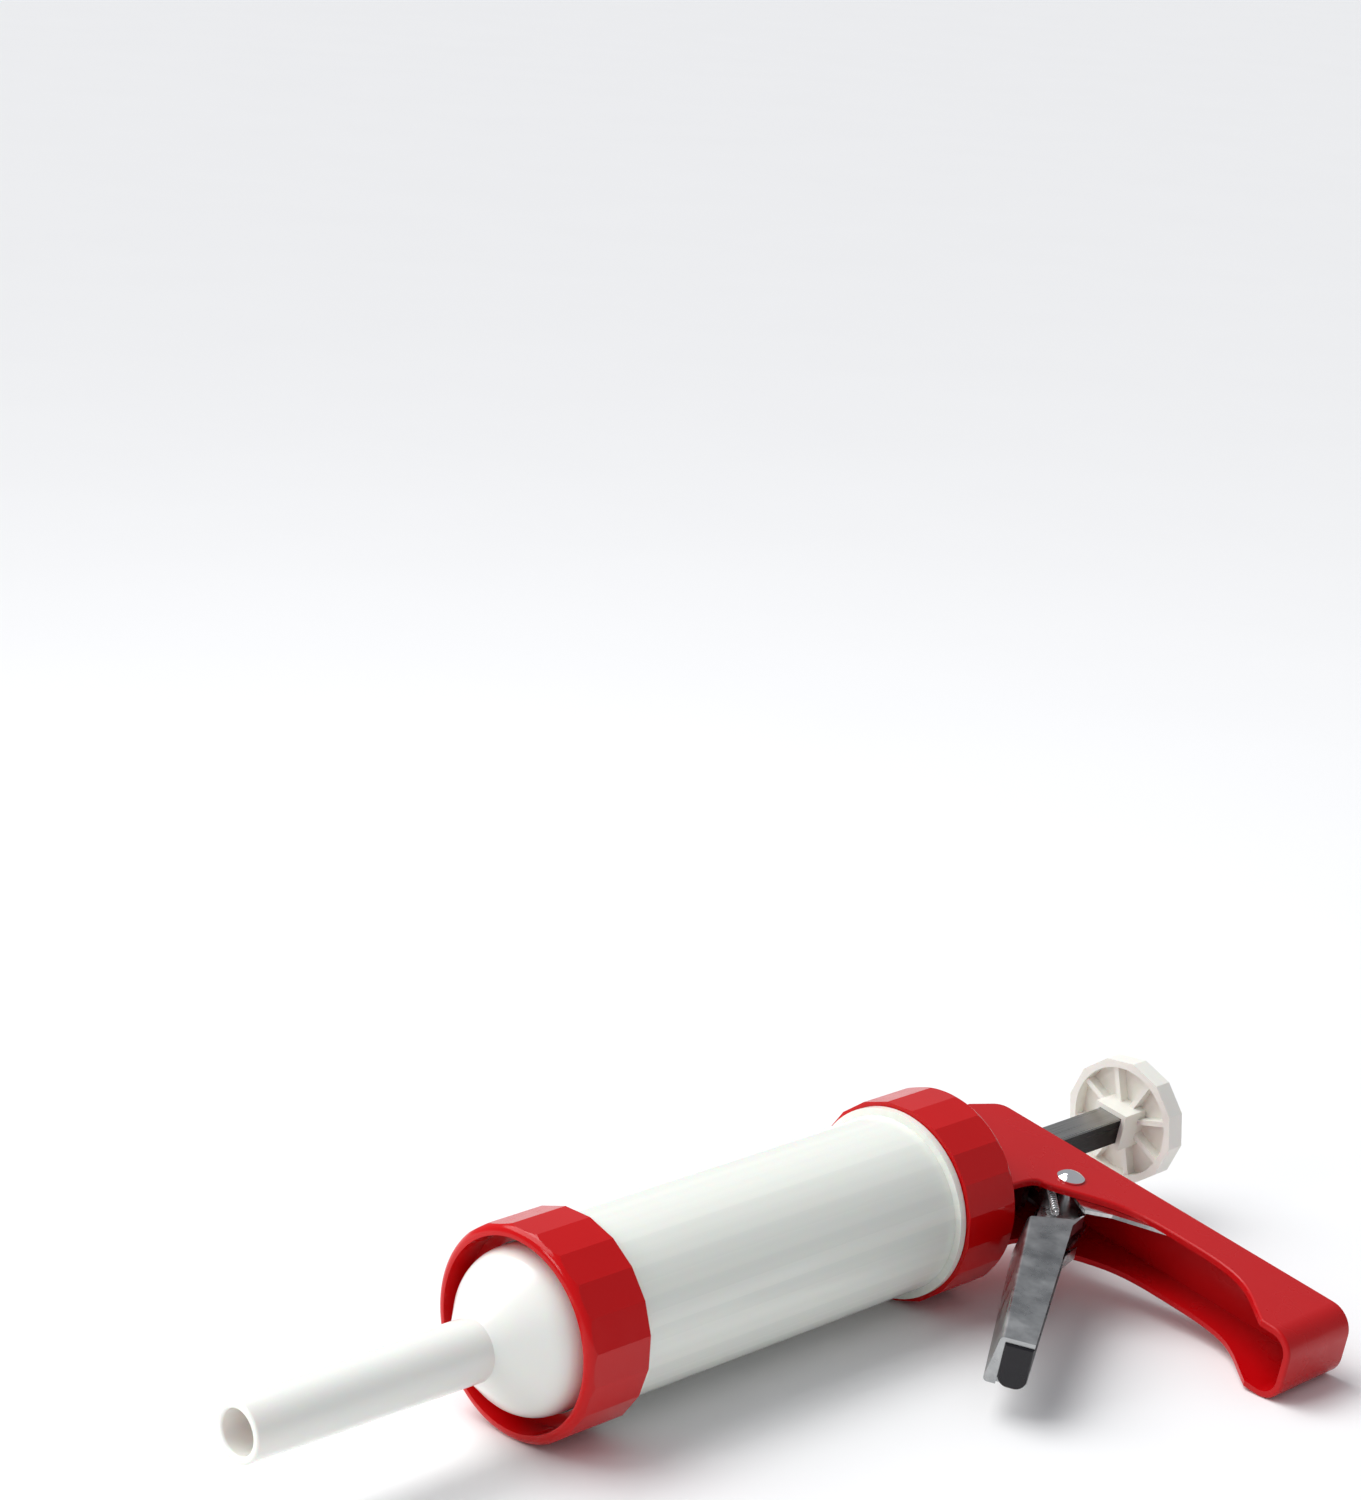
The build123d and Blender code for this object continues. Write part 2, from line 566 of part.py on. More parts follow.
with BuildPart() as trigger:
    # sheet steel channel, its web a little wider towards the lower cheek
    with BuildSketch(trigger_station(TRIGGER_LUG_START)) as grip:
        with BuildLine():
            Polyline(
                (TRIGGER_HALF, TRIGGER_FRONT),
                (TRIGGER_HALF, -TRIGGER_LUG),
                (-TRIGGER_HALF, -TRIGGER_LUG),
                (-TRIGGER_HALF, TRIGGER_FRONT + TRIGGER_FLARE),
                close=True,
            )
        make_face()
        fillet(grip.vertices().group_by(Axis.Y)[-1] + grip.vertices().group_by(Axis.Y)[-2], TRIGGER_BEND)
    extrude(amount=TRIGGER_END + CAP_FLANGE - TRIGGER_LUG_START)
    # the cheeks' outline, with a slanted shoulder and a pointed lug at the back of it
    with BuildSketch(trigger_plane(TRIGGER_HALF)):
        with BuildLine():
            Polyline(
                (TRIGGER_START, 2 * TRIGGER_FRONT),
                (TRIGGER_START, TRIGGER_FRONT),
                (TRIGGER_START - SHOULDER_SLANT, -TRIGGER_BACK_TOP),
                (TRIGGER_LUG_START, -TRIGGER_LUG),
                (TRIGGER_START - 1, -TRIGGER_BACK_TOP),
                (TRIGGER_END + CAP_FLANGE, -TRIGGER_BACK_END),
                (TRIGGER_END + CAP_FLANGE, 2 * TRIGGER_FRONT),
                close=True,
            )
        make_face()
    extrude(amount=2 * TRIGGER_HALF, mode=Mode.INTERSECT)
    # hollow of the channel, open at the back and at the end
    with BuildSketch(trigger_station(TRIGGER_START + SHEET)):
        with BuildLine():
            Polyline(
                (TRIGGER_HALF - SHEET, TRIGGER_FRONT - SHEET),
                (TRIGGER_HALF - SHEET, -2 * TRIGGER_LUG),
                (SHEET - TRIGGER_HALF, -2 * TRIGGER_LUG),
                (SHEET - TRIGGER_HALF, TRIGGER_FRONT - SHEET),
                close=True,
            )
        make_face()
    extrude(amount=TRIGGER_END - TRIGGER_START, mode=Mode.SUBTRACT)
    # the lower cheek ends short, behind the cap's flange
    with BuildSketch(trigger_station(TRIGGER_END)):
        with Locations((-SHEET, TRIGGER_FRONT - SHEET - TRIGGER_HALF)):
            Rectangle(2 * TRIGGER_HALF, 2 * TRIGGER_HALF)
    extrude(amount=CAP_FLANGE, mode=Mode.SUBTRACT)
    # between the ears the shoulder is open, so that it clears the pivot
    with BuildSketch(trigger_plane(EAR_HALF - SHEET)):
        with Locations((TRIGGER_START - SHOULDER_SLANT, TRIGGER_FRONT - SHEET - 15)):
            Rectangle(2 * (SHOULDER_SLANT + SHEET) + 1, 30)
    extrude(amount=2 * (EAR_HALF - SHEET), mode=Mode.SUBTRACT)
    # two ears, set in from the grip, with a lobe that pushes the drive dog
    for height in (EAR_HALF, SHEET - EAR_HALF):
        with BuildSketch(trigger_plane(height)):
            Circle(EAR_RADIUS - 2)
            with BuildLine():
                Polyline(
                    (-2, EAR_RADIUS - 4),
                    (TRIGGER_START + SHEET, TRIGGER_FRONT - 2),
                    (TRIGGER_START + SHEET, -TRIGGER_BACK_TOP + 0.5),
                    (TRIGGER_START - SHOULDER_SLANT, -TRIGGER_BACK_TOP),
                    (8.8, -6.7),
                    (1, -EAR_RADIUS + 2.2),
                    close=True,
                )
            make_face()
        extrude(amount=SHEET)
        with BuildSketch(side(height)):
            with BuildLine():
                Polyline(
                    (PIVOT_X - 1.5, -PIVOT_DROP),
                    (NOSE_X - NOSE_RADIUS + 0.7, -NOSE_DROP),
                    (NOSE_X + NOSE_RADIUS - 0.1, -NOSE_DROP),
                    (PIVOT_X + 7, -PIVOT_DROP),
                    close=True,
                )
            make_face()
            with Locations((NOSE_X, -NOSE_DROP)):
                Circle(NOSE_RADIUS)
        extrude(amount=-SHEET)
    with BuildSketch(trigger_plane(TRIGGER_HALF)):
        Circle(RIVET_RADIUS + RUNNING)
    extrude(amount=2 * TRIGGER_HALF, mode=Mode.SUBTRACT)
save(trigger, "trigger")

with BuildPart() as trigger_cap:
    # plug inside the channel, and a flange over the end of the lower cheek
    plug_half = TRIGGER_HALF - SHEET - SEAT
    plug_front = TRIGGER_FRONT - SHEET - SEAT
    with BuildSketch(trigger_station(TRIGGER_END - CAP_PLUG)):
        with Locations((0, (plug_front + TRIGGER_BACK_END) / 2)):
            Rectangle(2 * plug_half, plug_front - TRIGGER_BACK_END)
    extrude(amount=CAP_PLUG + SEAT)
    with BuildSketch(trigger_station(TRIGGER_END + SEAT)) as flange:
        with BuildLine():
            Polyline(
                (plug_half, plug_front),
                (plug_half, -TRIGGER_BACK_END),
                (-TRIGGER_HALF, -TRIGGER_BACK_END),
                (-TRIGGER_HALF, plug_front),
                close=True,
            )
        make_face()
        fillet(flange.vertices().group_by(Axis.X)[0], CAP_ROUND)
    extrude(amount=CAP_FLANGE + CAP_PROUD)
    fillet(trigger_cap.faces().sort_by(Axis(gun.origin, trigger_plane(0).x_dir))[-1].edges(), CAP_PROUD * 0.8)
save(trigger_cap, "trigger_cap")


# ---------------------------------------------------------------- rivet
with BuildPart() as pivot_rivet:
    pivot_axis = Axis(gun.from_local_coords((PIVOT_X, -PIVOT_DROP, 0)), gun.z_dir)
    head_seat = BODY_HALF + SEAT
    head_rim = head_seat + RIVET_RIM
    head_top = head_seat + RIVET_DOME
    with BuildSketch(Plane(origin=pivot_axis.position, x_dir=gun.x_dir, z_dir=-gun.y_dir)):
        with BuildLine():
            Line((0, -head_top), (0, head_top))
            TangentArc((0, head_top), (RIVET_HEAD, head_rim), tangent=(1, 0))
            Polyline(
                (RIVET_HEAD, head_rim),
                (RIVET_HEAD, head_seat),
                (RIVET_RADIUS, head_seat),
                (RIVET_RADIUS, -head_seat),
                (RIVET_HEAD, -head_seat),
                (RIVET_HEAD, -head_rim),
            )
            TangentArc((0, -head_top), (RIVET_HEAD, -head_rim), tangent=(1, 0))
        make_face()
    revolve(axis=pivot_axis)
save(pivot_rivet, "pivot_rivet")


# ---------------------------------------------------------------- drive dog, catch plate, release lever
with BuildPart() as drive_dog:
    with BuildSketch(station(DOG_FRONT)):
        with Locations(((DOG_RISE - DOG_DROP) / 2, 0)):
            RectangleRounded(DOG_RISE + DOG_DROP, 2 * DOG_HALF, 1.5)
    extrude(amount=DOG_THICKNESS)
    add(rod_passage(ROD_SIDE + 2 * RUNNING, DOG_FRONT, DOG_THICKNESS), mode=Mode.SUBTRACT)
save(drive_dog, "drive_dog")

lean = math.radians(CATCH_TILT)
catch_down = gun.x_dir * math.sin(lean) - gun.y_dir * math.cos(lean)
catch_hinge = gun.from_local_coords((CATCH_PIN_X, CATCH_PIN_RISE, 0))
catch_face = Plane(origin=catch_hinge, x_dir=catch_down, z_dir=gun.z_dir.cross(catch_down))
with BuildPart() as catch_plate:
    plate_length = CATCH_PIN_RISE + CATCH_DROP
    with BuildSketch(catch_face.offset(-CATCH_THICKNESS / 2)):
        with Locations((plate_length / 2 + 1, 0)):
            RectangleRounded(plate_length - 2, 2 * DOG_HALF, 1.2)
        with Locations((CATCH_PIN_RISE, 0)):
            Rectangle(ROD_SIDE + 1, ROD_SIDE + 0.6, mode=Mode.SUBTRACT)
    extrude(amount=CATCH_THICKNESS)
    # knuckles round the pin, one at each side
    for start in (4.0, -DOG_HALF):
        with BuildSketch(side(start)):
            with Locations((CATCH_PIN_X, CATCH_PIN_RISE)):
                Circle(CATCH_PIN_RADIUS + 1)
        extrude(amount=DOG_HALF - 4)
    with BuildSketch(side(-DOG_HALF)):
        with Locations((CATCH_PIN_X, CATCH_PIN_RISE)):
            Circle(CATCH_PIN_RADIUS + RUNNING)
    extrude(amount=2 * DOG_HALF, mode=Mode.SUBTRACT)
save(catch_plate, "catch_plate")

with BuildPart() as catch_pin:
    pin_half = WALL_INSIDE + CATCH_PIN_SOCKET - SEAT
    with BuildSketch(side(-pin_half)):
        with Locations((CATCH_PIN_X, CATCH_PIN_RISE)):
            Circle(CATCH_PIN_RADIUS)
    extrude(amount=2 * pin_half)
save(catch_pin, "catch_pin")

catch_spring = coil(
    gun.from_local_coords((CATCH_PIN_X, CATCH_PIN_RISE, -3.2)),
    gun.z_dir,
    CATCH_PIN_RADIUS + 0.2 + SMALL_WIRE / 2,
    SMALL_WIRE,
    6.4,
    6,
)
save(catch_spring, "catch_spring")

lever_height = WALL_INSIDE - SEAT - LEVER_THICKNESS
with BuildPart() as release_lever:
    with BuildSketch(side(lever_height)):
        with Locations((PIVOT_X, -PIVOT_DROP)):
            Circle(RIVET_RADIUS + 2.6)
        with BuildLine():
            Polyline(
                (PIVOT_X - LEVER_WIDTH / 2, -PIVOT_DROP),
                (PIVOT_X - 8.2, -PIVOT_DROP - 13.5),
                (PIVOT_X - 2.2, -PIVOT_DROP - 20),
                (PIVOT_X + 5.8, -PIVOT_DROP - 35),
                (PIVOT_X + 8.5, -PIVOT_DROP - LEVER_TAIL),
                (PIVOT_X + 12.0, -PIVOT_DROP - LEVER_TAIL),
                (PIVOT_X + 10.5, -PIVOT_DROP - 26),
                (PIVOT_X + 4, -PIVOT_DROP - 8),
                (PIVOT_X + LEVER_WIDTH / 2, -PIVOT_DROP),
                close=True,
            )
        make_face()
        with BuildLine():
            Polyline(
                (PIVOT_X - 1, -PIVOT_DROP),
                (SPINE_INSIDE - 2.2, -CATCH_DROP - 3.5),
                (SPINE_INSIDE - 2.2, -CATCH_DROP + 3),
                (SPINE_INSIDE - 0.5, -CATCH_DROP + 3),
                (SPINE_INSIDE - 0.5, -CATCH_DROP - 4.5),
                (PIVOT_X + 4, -PIVOT_DROP),
                close=True,
            )
        make_face()
        with Locations((PIVOT_X, -PIVOT_DROP)):
            Circle(RIVET_RADIUS + RUNNING, mode=Mode.SUBTRACT)
    extrude(amount=LEVER_THICKNESS)
    # the tab behind the catch plate
    with BuildSketch(side(lever_height - 4)):
        with Locations((SPINE_INSIDE - 1.2, -CATCH_DROP + 1.5)):
            Rectangle(1.0, 3.0)
    extrude(amount=4)
save(release_lever, "release_lever")


# ---------------------------------------------------------------- springs
spring_start = BULKHEAD_BACK + SEAT + GUIDE_FLANGE + DRIVE_WIRE / 2
drive_spring = coil(
    gun.from_local_coords((spring_start, 0, 0)),
    gun.x_dir,
    DRIVE_COIL,
    DRIVE_WIRE,
    DOG_FRONT - DRIVE_WIRE - spring_start,
    DRIVE_TURNS,
)
save(drive_spring, "drive_spring")

hook = gun.from_local_coords((PIVOT_X - 14.6, -PIVOT_DROP - 7.5, EAR_HALF + 1.7))
anchor = gun.from_local_coords((PIVOT_X + 6, -PIVOT_DROP + 14, EAR_HALF + 1.7))
trigger_spring = coil(hook, anchor - hook, SMALL_COIL, SMALL_WIRE, (anchor - hook).length, 14)
save(trigger_spring, "trigger_spring")

with BuildPart() as spring_anchor:
    with BuildSketch(side(EAR_HALF)):
        with Locations((PIVOT_X + 7.6, -PIVOT_DROP + 15.6)):
            Circle(1.1)
    extrude(amount=WALL_INSIDE - EAR_HALF)
save(spring_anchor, "spring_anchor")
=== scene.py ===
"""Looks of the jerky gun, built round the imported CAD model.

Metres, in the CAD model's own frame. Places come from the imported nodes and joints: the gun frame has its
origin on the barrel's axis at the front ring nut's face, X back along the barrel, Y away from the handle
and Z out of the upper side wall.
"""

import json
import math

import bmesh
import bpy
from mathutils import Matrix, Vector


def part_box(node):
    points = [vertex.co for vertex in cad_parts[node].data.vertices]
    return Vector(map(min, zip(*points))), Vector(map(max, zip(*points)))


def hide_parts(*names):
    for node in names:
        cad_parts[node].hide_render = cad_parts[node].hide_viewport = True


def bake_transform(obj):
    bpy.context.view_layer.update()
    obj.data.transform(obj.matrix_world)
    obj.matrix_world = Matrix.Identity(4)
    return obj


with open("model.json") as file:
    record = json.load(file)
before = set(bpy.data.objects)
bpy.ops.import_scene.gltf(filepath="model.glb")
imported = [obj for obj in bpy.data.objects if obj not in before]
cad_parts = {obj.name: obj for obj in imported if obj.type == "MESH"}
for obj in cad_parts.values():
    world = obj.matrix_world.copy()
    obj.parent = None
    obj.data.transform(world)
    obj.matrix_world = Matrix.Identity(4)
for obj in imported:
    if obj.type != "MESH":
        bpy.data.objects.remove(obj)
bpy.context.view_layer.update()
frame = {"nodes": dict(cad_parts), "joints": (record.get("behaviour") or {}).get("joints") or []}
nodes = frame["nodes"]
joints = {joint["name"]: joint for joint in frame["joints"]}

MM = 0.001

# ---------------------------------------------------------------- the gun's own frame
pivot = Vector(joints["trigger_pull"]["pos_m"])
out_of_wall = Vector(joints["trigger_pull"]["axis"]).normalized()
backwards = Vector((1, 0, 0))
from_handle = out_of_wall.cross(backwards)
barrel_low, barrel_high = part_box("barrel")
collar_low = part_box("front_collar")[0]
axis_point = (barrel_low + barrel_high) / 2
axis_point.x = collar_low.x
gun = Matrix((
    (*backwards, 0),
    (*from_handle, 0),
    (*out_of_wall, 0),
    (0, 0, 0, 1),
)).transposed()
gun.translation = axis_point


# ---------------------------------------------------------------- shader maths
class Value:
    """A shader socket that takes part in Python expressions."""

    def __init__(self, finish, socket):
        self.finish = finish
        self.socket = socket

    def __add__(self, other):
        return self.finish.maths("ADD", self, other)

    def __mul__(self, other):
        return self.finish.maths("MULTIPLY", self, other)

    def __radd__(self, other):
        return self.finish.maths("ADD", other, self)

    def __rmul__(self, other):
        return self.finish.maths("MULTIPLY", other, self)


class Finish:
    """One material: a Principled surface with constant settings, and the nodes that vary it."""

    def __init__(self, name, **settings):
        self.material = bpy.data.materials.new(name)
        self.material.use_nodes = True
        self.tree = self.material.node_tree
        self.surface = self.tree.nodes["Principled BSDF"]
        for socket, value in settings.items():
            self.surface.inputs[socket.replace("_", " ").title().replace("Ior", "IOR")].default_value = value

    def node(self, kind, settings=None, **sockets):
        """Adds a node, sets it up, then fills its sockets, and returns it."""
        made = self.tree.nodes.new(kind)
        for name, value in (settings or {}).items():
            if name == "stops":
                for stop in value[2:]:
                    made.color_ramp.elements.new(stop[0])
                for element, (place, colour) in zip(made.color_ramp.elements, value):
                    element.position = place
                    element.color = colour
            else:
                setattr(made, name, value)
        for name, value in sockets.items():
            self.fill(made.inputs[int(name[1:]) if name[0] == "_" else name.replace("_", " ")], value)
        return made

    def fill(self, socket, value):
        if isinstance(value, Value):
            self.tree.links.new(value.socket, socket)
        else:
            socket.default_value = value

    def value(self, node, output=0):
        return Value(self, node.outputs[output])

    def maths(self, operation, first, second):
        return self.value(self.node("ShaderNodeMath", {"operation": operation}, _0=first, _1=second))

    def place(self):
        return self.value(self.node("ShaderNodeTexCoord"), "Object")

    def noise(self, scale, detail=3.0, roughness=0.5, vector=None):
        where = vector or self.place()
        texture = self.node(
            "ShaderNodeTexNoise", Vector=where, Scale=scale, Detail=detail, Roughness=roughness
        )
        return self.value(texture, "Fac")

    def ramp(self, factor, low, high, start=0.0, end=1.0):
        stops = [(start, (low, low, low, 1)), (end, (high, high, high, 1))]
        return self.value(self.node("ShaderNodeValToRGB", {"stops": stops}, Fac=factor))

    def mix(self, factor, first, second):
        made = self.node("ShaderNodeMix", {"data_type": "RGBA"}, _0=factor, _6=first, _7=second)
        return self.value(made, 2)

    def vary(self, **sockets):
        for name, value in sockets.items():
            self.fill(self.surface.inputs[name.replace("_", " ").title()], value)

    def bump(self, height, distance, strength=1.0):
        made = self.node("ShaderNodeBump", Strength=strength, Distance=distance, Height=height)
        self.fill(self.surface.inputs["Normal"], self.value(made, "Normal"))


def across_barrel(finish):
    """The angle round the barrel's axis, in turns, from the gun frame."""
    offset = finish.node("ShaderNodeVectorMath", {"operation": "SUBTRACT"}, _0=finish.place(), _1=axis_point)
    parts = finish.node("ShaderNodeSeparateXYZ", Vector=finish.value(offset))
    angle = finish.maths("ARCTAN2", finish.value(parts, "Z"), finish.value(parts, "Y"))
    return angle * (1 / math.tau)


# ---------------------------------------------------------------- finishes
def red_gloss():
    """Moulded ring nuts: deep gloss red with a faint flow in the surface."""
    finish = Finish("ring_nut_red", roughness=0.13, coat_weight=0.05, coat_roughness=0.05, ior=1.33)
    flow = finish.noise(38.0, 2.0)
    finish.vary(base_color=finish.mix(flow, (0.60, 0.0006, 0.002, 1), (0.52, 0.0005, 0.0015, 1)))
    finish.vary(roughness=finish.ramp(finish.noise(160.0, 4.0), 0.09, 0.18, 0.3, 0.7))
    finish.bump(finish.noise(90.0, 2.0), 0.00008, 0.25)
    return finish.material


def red_paint():
    """Painted handle: satin red with orange peel and a slight drift in tone."""
    finish = Finish("handle_red_paint", roughness=0.24, coat_weight=0.04, coat_roughness=0.1, ior=1.32)
    drift = finish.noise(16.0, 3.0)
    finish.vary(base_color=finish.mix(drift, (0.54, 0.001, 0.003, 1), (0.46, 0.001, 0.003, 1)))
    finish.vary(roughness=finish.ramp(finish.noise(70.0, 3.0), 0.22, 0.36, 0.3, 0.7))
    finish.bump(finish.noise(650.0, 2.0), 0.00002, 0.12)
    return finish.material


def white_gloss():
    """Nozzle: milky gloss plastic."""
    finish = Finish("nozzle_white", roughness=0.16, subsurface_weight=0.25, subsurface_scale=0.004, ior=1.49)
    cloud = finish.noise(22.0, 2.0)
    finish.vary(base_color=finish.mix(cloud, (0.95, 0.95, 0.89, 1), (0.90, 0.91, 0.86, 1)))
    finish.vary(roughness=finish.ramp(finish.noise(120.0, 3.0), 0.12, 0.22, 0.3, 0.7))
    finish.bump(finish.noise(70.0, 2.0), 0.00006, 0.2)
    return finish.material


BARREL_FLATS = 40


def milky_tube():
    """Barrel: milky clear tube whose bore is drawn in narrow flats by a ripple in the surface; the faint
    bands along it are painted reflections, a lighter or darker tint for each flat.
    """
    finish = Finish("barrel_milky", roughness=0.14, subsurface_weight=0.2, subsurface_scale=0.005, ior=1.5)
    turns = across_barrel(finish)
    cell = finish.maths("FLOOR", turns * BARREL_FLATS, 0)
    shade = finish.value(finish.node("ShaderNodeTexWhiteNoise", {"noise_dimensions": "1D"}, W=cell), "Value")
    ripple = finish.maths("SINE", turns * (math.tau * BARREL_FLATS), 0) * 0.12
    # painted reflection: each flat gets a lighter or darker tint, with the ripple, in the barrel's colour
    painted_reflection_bands = finish.ramp(shade * 0.6 + ripple + 0.2, 0.0, 1.0)
    finish.vary(base_color=finish.mix(painted_reflection_bands, (0.93, 0.93, 0.86, 1), (0.85, 0.86, 0.80, 1)))
    finish.vary(roughness=finish.ramp(finish.noise(90.0, 3.0), 0.1, 0.2, 0.3, 0.7))
    finish.bump(ripple, 0.00012, 0.4)
    return finish.material


def cream_plastic():
    """Knob and rod guides: off-white moulded plastic."""
    finish = Finish("knob_cream", roughness=0.36, subsurface_weight=0.1, subsurface_scale=0.003, ior=1.47)
    cloud = finish.noise(60.0, 3.0)
    finish.vary(base_color=finish.mix(cloud, (0.92, 0.91, 0.85, 1), (0.86, 0.85, 0.78, 1)))
    finish.bump(finish.noise(800.0, 2.0), 0.00004, 0.25)
    return finish.material


def soft_seal():
    """Gaskets and piston seal: pale silicone."""
    finish = Finish("seal_silicone", roughness=0.5, ior=1.42)
    finish.vary(base_color=finish.mix(finish.noise(90.0), (0.62, 0.62, 0.58, 1), (0.56, 0.56, 0.52, 1)))
    finish.bump(finish.noise(900.0), 0.00003, 0.3)
    return finish.material


def zinc_sheet():
    """Trigger, dog and catch: zinc plated sheet, mottled by its spangle and by handling."""
    finish = Finish("trigger_zinc", metallic=1.0, roughness=0.32)
    grain = finish.node("ShaderNodeTexVoronoi", Vector=finish.place(), Scale=260.0)
    spangle = finish.noise(95.0, 6.0, 0.62)
    blotch = finish.noise(30.0, 4.0, 0.6)
    cloud = spangle * 0.55 + blotch * 0.45
    mottle = finish.ramp(cloud, 0.0, 1.0, 0.38, 0.62)
    finish.vary(base_color=finish.mix(mottle, (0.24, 0.245, 0.25, 1), (0.52, 0.53, 0.53, 1)))
    finish.vary(roughness=finish.ramp(spangle, 0.22, 0.42, 0.35, 0.65))
    finish.bump(finish.value(grain, "Distance"), 0.00005, 0.12)
    return finish.material


def drawn_steel(name, low, high, roughness):
    """Rod and small steel pieces: drawn along the barrel, with fine lines."""
    finish = Finish(name, metallic=1.0, roughness=roughness)
    stretched = finish.node("ShaderNodeMapping", Vector=finish.place(), Scale=(12.0, 900.0, 900.0))
    lines = finish.noise(1.0, 3.0, 0.6, finish.value(stretched))
    tint = finish.ramp(lines, 0.0, 1.0, 0.3, 0.7)
    finish.vary(base_color=finish.mix(tint, low, high))
    finish.vary(roughness=finish.ramp(lines, roughness * 0.8, roughness * 1.25, 0.3, 0.7))
    finish.bump(lines, 0.00002, 0.15)
    return finish


def rod_steel():
    """Push rod: bare satin steel on its broad top and bottom, with painted dark reflections on the two sides:
    near-black colour where the steel mirrors dark surroundings.
    """
    finish = drawn_steel("rod_steel", (0.30, 0.30, 0.29, 1), (0.46, 0.455, 0.44, 1), 0.3)
    facing = finish.node("ShaderNodeVectorMath", {"operation": "DOT_PRODUCT"})
    normal = finish.value(finish.node("ShaderNodeTexCoord"), "Normal")
    finish.fill(facing.inputs[0], normal)
    finish.fill(facing.inputs[1], from_handle)
    side = finish.maths("ABSOLUTE", finish.value(facing, "Value"), 0)
    # painted dark reflection: near-black colour on the two sides, where the steel mirrors dark surroundings
    painted_dark_reflection = finish.ramp(side, 0.0, 1.0, 0.75, 0.95)
    bare = Value(finish, finish.surface.inputs["Base Color"].links[0].from_socket)
    finish.vary(base_color=finish.mix(painted_dark_reflection, bare, (0.018, 0.015, 0.015, 1)))
    return finish.material


def bright_chrome():
    """Rivet: domed and polished."""
    finish = Finish("rivet_chrome", metallic=1.0, roughness=0.06)
    finish.vary(base_color=finish.mix(finish.noise(200.0), (0.90, 0.90, 0.91, 1), (0.80, 0.80, 0.82, 1)))
    finish.vary(roughness=finish.ramp(finish.noise(300.0, 4.0), 0.04, 0.1, 0.3, 0.7))
    return finish.material


def black_dip():
    """Trigger cap: black vinyl with a soft gloss."""
    finish = Finish("cap_black", roughness=0.2, coat_weight=0.15, coat_roughness=0.08, ior=1.35)
    cloud = finish.noise(120.0)
    finish.vary(base_color=finish.mix(cloud, (0.006, 0.006, 0.008, 1), (0.016, 0.014, 0.018, 1)))
    finish.bump(finish.noise(160.0, 3.0), 0.00012, 0.4)
    return finish.material


def piston_white():
    """Piston: matte food-grade plastic with turned rings."""
    finish = Finish("piston_white", roughness=0.42, ior=1.48)
    finish.vary(base_color=finish.mix(finish.noise(60.0), (0.80, 0.80, 0.77, 1), (0.74, 0.74, 0.71, 1)))
    finish.bump(finish.noise(500.0), 0.00003, 0.2)
    return finish.material


RED_GLOSS = red_gloss()
RED_PAINT = red_paint()
WHITE_GLOSS = white_gloss()
MILKY = milky_tube()
CREAM = cream_plastic()
SEAL = soft_seal()
ZINC = zinc_sheet()
ROD_STEEL = rod_steel()
SMALL_STEEL = drawn_steel("small_steel", (0.45, 0.45, 0.44, 1), (0.62, 0.62, 0.61, 1), 0.22).material
SPRING_STEEL = drawn_steel("spring_steel", (0.60, 0.60, 0.60, 1), (0.78, 0.78, 0.78, 1), 0.12).material
CHROME = bright_chrome()
BLACK_DIP = black_dip()
PISTON_WHITE = piston_white()

NODE_FINISH = {
    "nozzle": WHITE_GLOSS,
    "front_collar": RED_GLOSS,
    "rear_collar": RED_GLOSS,
    "barrel": MILKY,
    "front_gasket": SEAL,
    "rear_gasket": SEAL,
    "handle_body": RED_PAINT,
    "front_guide": CREAM,
    "rear_guide": CREAM,
    "push_rod": ROD_STEEL,
    "knob": CREAM,
    "knob_screw": SMALL_STEEL,
    "piston": PISTON_WHITE,
    "piston_seal": SEAL,
    "piston_washer": SMALL_STEEL,
    "wing_nut": SMALL_STEEL,
    "trigger": ZINC,
    "trigger_cap": BLACK_DIP,
    "pivot_rivet": CHROME,
    "drive_dog": ZINC,
    "catch_plate": ZINC,
    "catch_pin": SMALL_STEEL,
    "catch_spring": SPRING_STEEL,
    "release_lever": SPRING_STEEL,
    "drive_spring": SPRING_STEEL,
    "trigger_spring": SPRING_STEEL,
    "spring_anchor": SMALL_STEEL,
}
for node_name, finish in NODE_FINISH.items():
    slots = nodes[node_name].material_slots
    if not slots:
        nodes[node_name].data.materials.append(finish)
    for slot in nodes[node_name].material_slots:
        slot.material = finish


# ---------------------------------------------------------------- springs
WIRE_SIDES = 8
STEPS_PER_TURN = 18
END_TURNS = 0.8     # of a spring: the part of a turn over which its end closes


